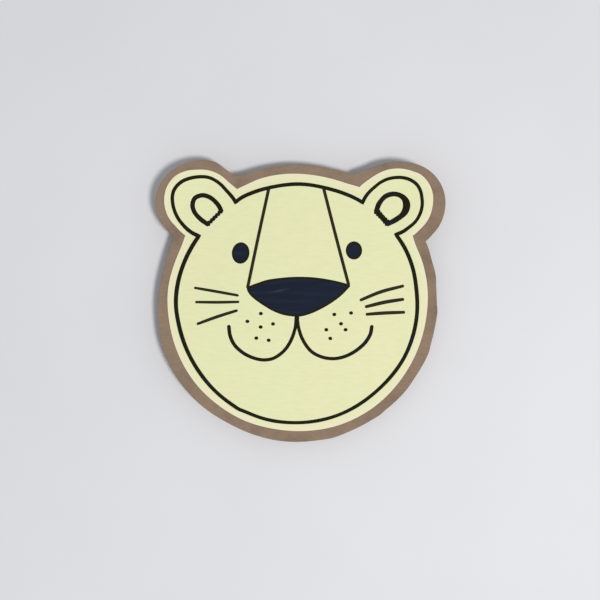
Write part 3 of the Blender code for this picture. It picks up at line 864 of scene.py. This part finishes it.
LINE_ROUND = ((152, 65.1), (162, 65.6), (172, 66.1), (181, 66.3), (191, 65.85), (204, 65.7),
              (216, 65.8), (228, 66.2), (237, 66.45), (241.5, 66.75), (246, 66.4), (256, 66.45),
              (270, 66.2), (290, 66.1), (302, 65.85), (312, 65.75), (322, 66.05), (332, 66.5),
              (342, 66.6), (354, 66.55), (366, 66.3), (376, 66.6), (386, 66.6))

ink_floor = face_box[1, 2] + INK_CLEAR


def make_ink(name, colour):
    """Dried ink: nearly black, bluer where it lies thick, with a slight uneven sheen."""
    material, tree, shader = new_finish(name, roughness=0.6, specular=0.05)
    pools = noise(tree, 160.0, 3.0)
    tone = ramp(tree, pools, [(0.52, colour), (0.8, INK_BLUE)])
    soak = noise(tree, 1300.0, 2.0)
    add_surface(tree, shader, tone, [(soak, 0.3)], INK_RELIEF)
    return material


def side_steps(path, closed):
    """Unit steps to the left of the path at each point, lengthened at a corner so that a stroke
    keeps its width there: the sum of both neighbours' normals over one plus their cosine, which
    a limit keeps from growing into a spike."""
    along = np.roll(path, -1, axis=0) - path
    along /= np.maximum(np.linalg.norm(along, axis=1, keepdims=True), 1e-9)
    if not closed:
        along[-1] = along[-2]
    normal = np.stack([-along[:, 1], along[:, 0]], axis=1)
    before = np.roll(normal, 1, axis=0)
    if not closed:
        before[0] = normal[0]
    cosine = np.sum(normal * before, axis=1, keepdims=True)
    return (normal + before) / (1.0 + cosine).clip(SHARPEST_CORNER)


def ink_stroke(name, path, width, closed=False, quick=False):
    """A stroke of ink along a path, in millimetres about the head's middle. Its cross-section is a
    low dome with a flat underside. An open stroke gets round ends: its width there is the
    chord of a circle, and a point closes it. A quick stroke leaves less ink, thinner and paler."""
    path = np.asarray(path, float)
    half = np.broadcast_to(np.asarray(width, float) / 2, len(path)).copy()
    if not closed:
        head, tail = path[0] - path[1], path[-1] - path[-2]
        head, tail = head / np.hypot(*head), tail / np.hypot(*tail)
        first, last = half[0], half[-1]
        start = path[0] + np.outer(first * np.sin(ROUND_END[::-1]), head)
        end = path[-1] + np.outer(last * np.sin(ROUND_END), tail)
        path = np.vstack([start, path, end])
        half = np.concatenate([first * np.cos(ROUND_END[::-1]), half, last * np.cos(ROUND_END)])
        tips = np.array([start[0] + END_POINT * head, end[-1] + END_POINT * tail])
    sideways = side_steps(path, closed)
    flat = path[:, None, :] - sideways[:, None, :] * (half[:, None] * FILM_ACROSS)[..., None]
    film = QUICK_FILM if quick else INK_FILM
    thick = film * FILM_HEIGHT * np.minimum(1.0, half / half.max())[:, None]
    flat, thick = flat.reshape(-1, 2), thick.reshape(-1)
    rows, columns = len(path), len(FILM_ACROSS)
    number = np.arange(rows * columns).reshape(rows, columns)
    if closed:
        number = np.vstack([number, number[:1]])
    beside = np.roll(number, -1, axis=1)
    faces = list(np.stack([number[:-1], beside[:-1], beside[1:], number[1:]], -1).reshape(-1, 4))
    if not closed:
        flat, thick = np.vstack([flat, tips]), np.append(thick, [0.0, 0.0])
        first_tip, last_tip = np.full(columns, len(flat) - 2), np.full(columns, len(flat) - 1)
        faces += list(np.stack([beside[0], number[0], first_tip], axis=1))
        faces += list(np.stack([number[-1], beside[-1], last_tip], axis=1))
    flat = flat * MM + (head_x, head_y)
    z = ink_floor + thick + lift(*flat.T)
    ink = quick_ink if quick else marker_ink
    return new_piece(name, np.column_stack([flat, z]), faces, ink)


def finish_ink(piece, node):
    """An ink piece moves with the flap, and stands for one node of the plain model."""
    finish_head_piece(piece, node)


def make_outline_line():
    """A closed stroke with a small jog low on the left, where the pen was set down again. Its width
    swells by a cosine of twice the angle and a slower one, wavers by a fine sine, and falls in
    proportion to the reach from the first ear reach to the second."""
    path = head_shape(LINE_CORNERS, LINE_RIGHT_EAR, LINE_FOREHEAD, LINE_LEFT_EAR, LINE_ROUND)
    x, y = path.T
    turn, reach = np.arctan2(y, x), np.hypot(x, y)
    swell = SIDE_SWELL * np.cos(2 * turn) - LOWER_SWELL * np.cos(turn + 0.9)
    swell += LINE_WAVER * np.sin(17 * turn)
    loss = np.interp(reach, EAR_REACHES, (0.0, EAR_LOSS))
    stroke = ink_stroke("head_outline", path, LINE_WIDTH * (1 + swell - loss), closed=True)
    finish_ink(stroke, "outline_line")


marker_ink = make_ink("marker_ink", INK_BLACK)
quick_ink = make_ink("marker_ink_quick", INK_QUICK)
make_outline_line()

# ------------------------------------------------------------------------------------------------
# Inside each ear: a rounded arch in the same ink, gone over twice, which a short line with an
# unsteady edge closes. The right one is drawn heavier on its outer side.
# ------------------------------------------------------------------------------------------------

LEFT_ARCH = ((-48.8, 42.9), (-52.6, 45.6), (-55.7, 49.0), (-57.1, 53.2), (-55.8, 57.2),
             (-51.7, 58.8), (-47.6, 57.6), (-44.4, 55.1), (-42.5, 52.6), (-41.4, 50.2))
RIGHT_ARCH = ((43.9, 50.2), (45.5, 54.4), (48.2, 57.6), (51.3, 59.2), (54.8, 59.5), (58.2, 58.1),
              (60.2, 55.4), (60.4, 52.0), (58.5, 48.4), (55.0, 45.6), (50.4, 43.2))
LEFT_ARCH_WIDTH, RIGHT_ARCH_WIDTH = 2.6, 2.85
LEFT_CLOSING, RIGHT_CLOSING = 0.68, 0.95
HEAVY_SIDE, HEAVY_PLACE, HEAVY_SPREAD = 1.45, 0.66, 0.16
TREMOR = 0.36
TREMORS = 5.5


def unsteady(start, end, count=24):
    """A straight line with a small regular tremble across it, a sine of the way along."""
    share = np.linspace(0, 1, count)[1:-1, None]
    start, end = np.array(start), np.array(end)
    across = np.array([start[1] - end[1], end[0] - start[0]]) / np.hypot(*(end - start))
    return start + (end - start) * share + across * TREMOR * np.sin(2 * np.pi * TREMORS * share)


def make_inner_ears():
    """Both run clockwise as the face is looked at, so their films face up. The heavier side's extra
    width is a bell curve of the share of the way along the arch."""
    for name, arch, base, closing, heavy in (
        ("left", LEFT_ARCH, LEFT_ARCH_WIDTH, LEFT_CLOSING, 0.0),
        ("right", RIGHT_ARCH, RIGHT_ARCH_WIDTH, RIGHT_CLOSING, HEAVY_SIDE),
    ):
        curve = through(arch)
        path = np.vstack([curve, unsteady(arch[-1], arch[0])])
        share = np.arange(len(path)) / len(curve)
        swell = heavy * np.exp(-(((share - HEAVY_PLACE) / HEAVY_SPREAD) ** 2))
        width = base * np.where(share >= 1.0, closing, 1.0) + swell
        ring = ink_stroke(f"{name}_ear_arch", path, width, closed=True)
        finish_ink(ring, f"{name}_inner_ear")


make_inner_ears()

# ------------------------------------------------------------------------------------------------
# The bridge of the nose, the eyes and the nose. Two quick lines of ink run from the forehead to
# the nose's corners. The eyes and the nose are outlined and then filled in with the same pen.
# ------------------------------------------------------------------------------------------------

PEN_STEP = 0.5
BRIDGE_WIDTH = 1.8
BRIDGE_SAG = 0.1
BRIDGES = {"left": ((-15.3, 62.3), (-26.8, 8.4)), "right": ((15.0, 62.3), (28.6, 9.9))}
# Each eye: its middle, half its width and height, and its lean in degrees.
EYES = {"left": ((-30.7, 27.1), 4.85, 5.9, -6), "right": ((31.6, 28.5), 4.5, 5.0, 0)}
NOSE_TOP = ((29.8, 9.0), (26.7, 10.5), (17.5, 12.6), (8.4, 13.8), (-0.8, 14.0), (-8.0, 13.5),
            (-15.5, 12.5), (-21.0, 10.8), (-25.3, 9.2), (-27.4, 7.8))
NOSE_UNDER = ((-27.4, 7.8), (-26.8, 5.8), (-24.6, 3.0), (-20.1, -0.5), (-13.6, -4.5),
              (-7.6, -6.9), (-1.0, -7.9), (3.0, -7.7), (8.4, -6.1), (14.3, -3.3), (19.8, 0.0),
              (24.9, 3.9), (29.8, 9.0))
NOSE_MIDDLE = (1.0, 4.0)
NOSE_RIM = (0.8 * MM, 1.7 * MM)
NOSE_STREAK = (0.013, 0.023, 0.036)
# A painted highlight on the nose's ink: a paler streak where the lamp's sheen lies, its middle,
# turn, size and colour.
PAINTED_HIGHLIGHT_MIDDLE = (head_x - 9.6 * MM, head_y + 6.3 * MM)
PAINTED_HIGHLIGHT_TURN = np.radians(12.0)
PAINTED_HIGHLIGHT_SIZE = (7.0 * MM, 0.75 * MM, 50.0 * MM)
PAINTED_HIGHLIGHT_COLOUR = (0.034, 0.046, 0.056)


def filled(name, outline, middle, material):
    """A filled-in patch of ink: a film that thins out towards its edge."""
    rings = [(0.0, INK_FILM), (0.5, INK_FILM), (0.93, INK_FILM), (0.985, 0.8 * INK_FILM)]
    rings += [(1.0, 0.35 * INK_FILM), (1.0, 0.0), (0.5, 0.0), (0.0, 0.0)]
    return plate(name, outline, middle, rings, ink_floor, material)


def make_nose_ink():
    """The patch is outlined first, in one black stroke, and the blue-black inside is laid on in
    side-by-side strokes, which show as faint lighter streaks. One long paler streak, a stretched
    sphere that fades outwards, is a painted highlight: the lamp's sheen on the ink, painted in."""
    material, tree, shader = new_finish("marker_ink_filled", roughness=0.55, specular=0.06)
    streaks = noise(tree, 420.0, 2.0, (0.10, 1.0, 1.0))
    tone = ramp(tree, streaks, [(0.5, INK_BLUE), (0.78, NOSE_STREAK)])
    tone = tinted_rim(tree, tone, INK_BLACK, NOSE_RIM, 1.0)
    # A painted highlight: a paler streak mixed into the ink's colour, fading outwards, where the
    # lamp's sheen lies.
    place = tree.nodes.new("ShaderNodeTexCoord")
    mapping = tree.nodes.new("ShaderNodeMapping")
    mapping.vector_type = "TEXTURE"
    mapping.inputs["Location"].default_value = (*PAINTED_HIGHLIGHT_MIDDLE, ink_floor)
    mapping.inputs["Rotation"].default_value = (0.0, 0.0, PAINTED_HIGHLIGHT_TURN)
    mapping.inputs["Scale"].default_value = PAINTED_HIGHLIGHT_SIZE
    highlight = tree.nodes.new("ShaderNodeTexGradient")
    highlight.gradient_type = "SPHERICAL"
    tree.links.new(place.outputs["Object"], mapping.inputs["Vector"])
    tree.links.new(mapping.outputs["Vector"], highlight.inputs["Vector"])
    tone = mixed(tree, "MIX", highlight.outputs["Fac"], tone, plain(tree, PAINTED_HIGHLIGHT_COLOUR))
    add_surface(tree, shader, tone, [(streaks, 0.25)], INK_RELIEF)
    return material


def oval(middle, across, up, lean):
    """An oval's outline: half its width times the cosine of the turn, half its height times the
    sine, and all of it leaning by an angle in degrees."""
    turn = np.linspace(0, 2 * np.pi, 60, endpoint=False)
    c, s = np.cos(np.radians(lean)), np.sin(np.radians(lean))
    x, y = across * np.cos(turn), up * np.sin(turn)
    return np.stack([middle[0] + c * x - s * y, middle[1] + s * x + c * y], axis=1)


def make_bridge():
    """Each line runs smoothly through its ends and a point a little to the left of their middle."""
    for name, (top, bottom) in BRIDGES.items():
        sag = (np.array(top) + np.array(bottom)) / 2 - (BRIDGE_SAG, 0.0)
        path = through([top, sag, bottom])
        piece = ink_stroke(f"{name}_bridge", path, BRIDGE_WIDTH, quick=True)
        finish_ink(piece, f"{name}_bridge_line")


def make_nose_and_eyes():
    """The nose fills a smooth path over its top and back under it. The eyes are leaning ovals."""
    thick_ink = make_nose_ink()
    outline = np.vstack([through(NOSE_TOP)[:-1], through(NOSE_UNDER)[:-1]])
    outline = evenly(outline, PEN_STEP)
    finish_ink(filled("nose_patch", outline, NOSE_MIDDLE, thick_ink), "nose")
    for name, (middle, across, up, lean) in EYES.items():
        patch = filled(f"{name}_eye_patch", oval(middle, across, up, lean), middle, thick_ink)
        finish_ink(patch, f"{name}_eye")


make_bridge()
make_nose_and_eyes()

# ------------------------------------------------------------------------------------------------
# The mouth: a short broad line of ink under the nose, which parts into the two round lines of the
# muzzle. Each of those is one stroke of the pen, drawn outwards from the middle.
# ------------------------------------------------------------------------------------------------

MOUTH_WIDTH, STEM_WIDTH = 2.0, 2.7
MOUTH_START, MOUTH_GAIN, MOUTH_WAVER = 0.92, 0.10, 0.03
MOUTH_STEM = ((0.2, -8.6), (0.15, -10.0), (0.2, -11.6))
LEFT_MOUTH = ((-0.2, -9.8), (-0.9, -15.0), (-3.2, -21.3), (-6.8, -26.6), (-12.2, -30.6),
              (-17.8, -31.7), (-23.4, -30.7), (-29.1, -28.0), (-34.0, -23.6), (-36.5, -18.4),
              (-37.2, -13.4))
RIGHT_MOUTH = ((0.5, -9.8), (1.4, -15.0), (3.7, -21.1), (8.0, -26.9), (14.0, -30.1), (20.3, -31.0),
               (26.3, -29.9), (32.3, -26.9), (37.5, -22.5), (40.5, -17.8), (41.4, -13.5))


def make_mouth():
    """The muzzle lines widen steadily along their length, by a tenth, and waver by a slow sine."""
    stem = ink_stroke("mouth_stem", through(MOUTH_STEM), STEM_WIDTH)
    finish_ink(stem, "mouth_centre_line")
    for name, points in (("left", LEFT_MOUTH), ("right", RIGHT_MOUTH)):
        path = evenly(through(points), PEN_STEP, closed=False)
        share = np.linspace(0, 1, len(path))
        waver = MOUTH_WAVER * np.sin(9 * share)
        width = MOUTH_WIDTH * (MOUTH_START + MOUTH_GAIN * share + waver)
        finish_ink(ink_stroke(f"{name}_mouth", path, width), f"{name}_mouth_line")


make_mouth()

# ------------------------------------------------------------------------------------------------
# Three whiskers a side, each one quick stroke that leaves less ink, and six dots on each side of
# the muzzle, where the pen's tip was set down and turned a little.
# ------------------------------------------------------------------------------------------------

WHISKER_WIDTH = {"left": (1.5, 1.5, 1.65), "right": (1.8, 1.9, 1.8)}
WHISKER_MIDST, WHISKER_TAPER = 1.08, 0.16
DOT_ACROSS, DOT_UP, DOT_LEAN = 1.1, 0.95, 40.0
WHISKERS = {
    "left": (
        ((-55.7, 7.9), (-44.0, 5.9), (-32.4, 3.8)),
        ((-55.1, 0.1), (-43.5, 0.0), (-32.1, 0.2)),
        ((-54.2, -11.8), (-43.8, -8.0), (-33.0, -4.6)),
    ),
    "right": (
        ((35.5, 1.3), (46.6, 5.8), (58.4, 8.9)),
        ((38.4, -2.4), (48.4, 0.0), (58.4, 1.6)),
        ((38.8, -6.6), (48.5, -5.9), (59.0, -5.5)),
    ),
}
DOTS = {
    "left": ((-19.6, -6.2), (-27.0, -10.5), (-12.9, -11.9), (-19.7, -13.6), (-22.1, -19.7),
             (-15.3, -20.9)),
    "right": ((20.8, -6.7), (30.0, -5.9), (24.5, -11.8), (16.4, -15.1), (27.0, -15.1),
              (18.6, -19.9)),
}


def make_whiskers():
    """Each is widest halfway, and loses width with the square of the distance from there."""
    for word, strokes in WHISKERS.items():
        for number, points in enumerate(strokes, 1):
            path = through(points)
            share = np.linspace(0, 1, len(path))
            width = WHISKER_MIDST - WHISKER_TAPER * (2 * share - 1) ** 2
            width = width * WHISKER_WIDTH[word][number - 1]
            stroke = ink_stroke(f"{word}_whisker_stroke_{number}", path, width, quick=True)
            finish_ink(stroke, f"{word}_whisker_{number}")


def make_dots():
    """Small ovals that lean by a sine of their number, so that no two lie alike."""
    for word, places in DOTS.items():
        for number, place in enumerate(places, 1):
            outline = oval(place, DOT_ACROSS, DOT_UP, DOT_LEAN * np.sin(3.1 * number))
            dot = filled(f"{word}_pen_dot_{number}", outline, place, marker_ink)
            finish_ink(dot, f"{word}_dot_{number}")


make_whiskers()
make_dots()
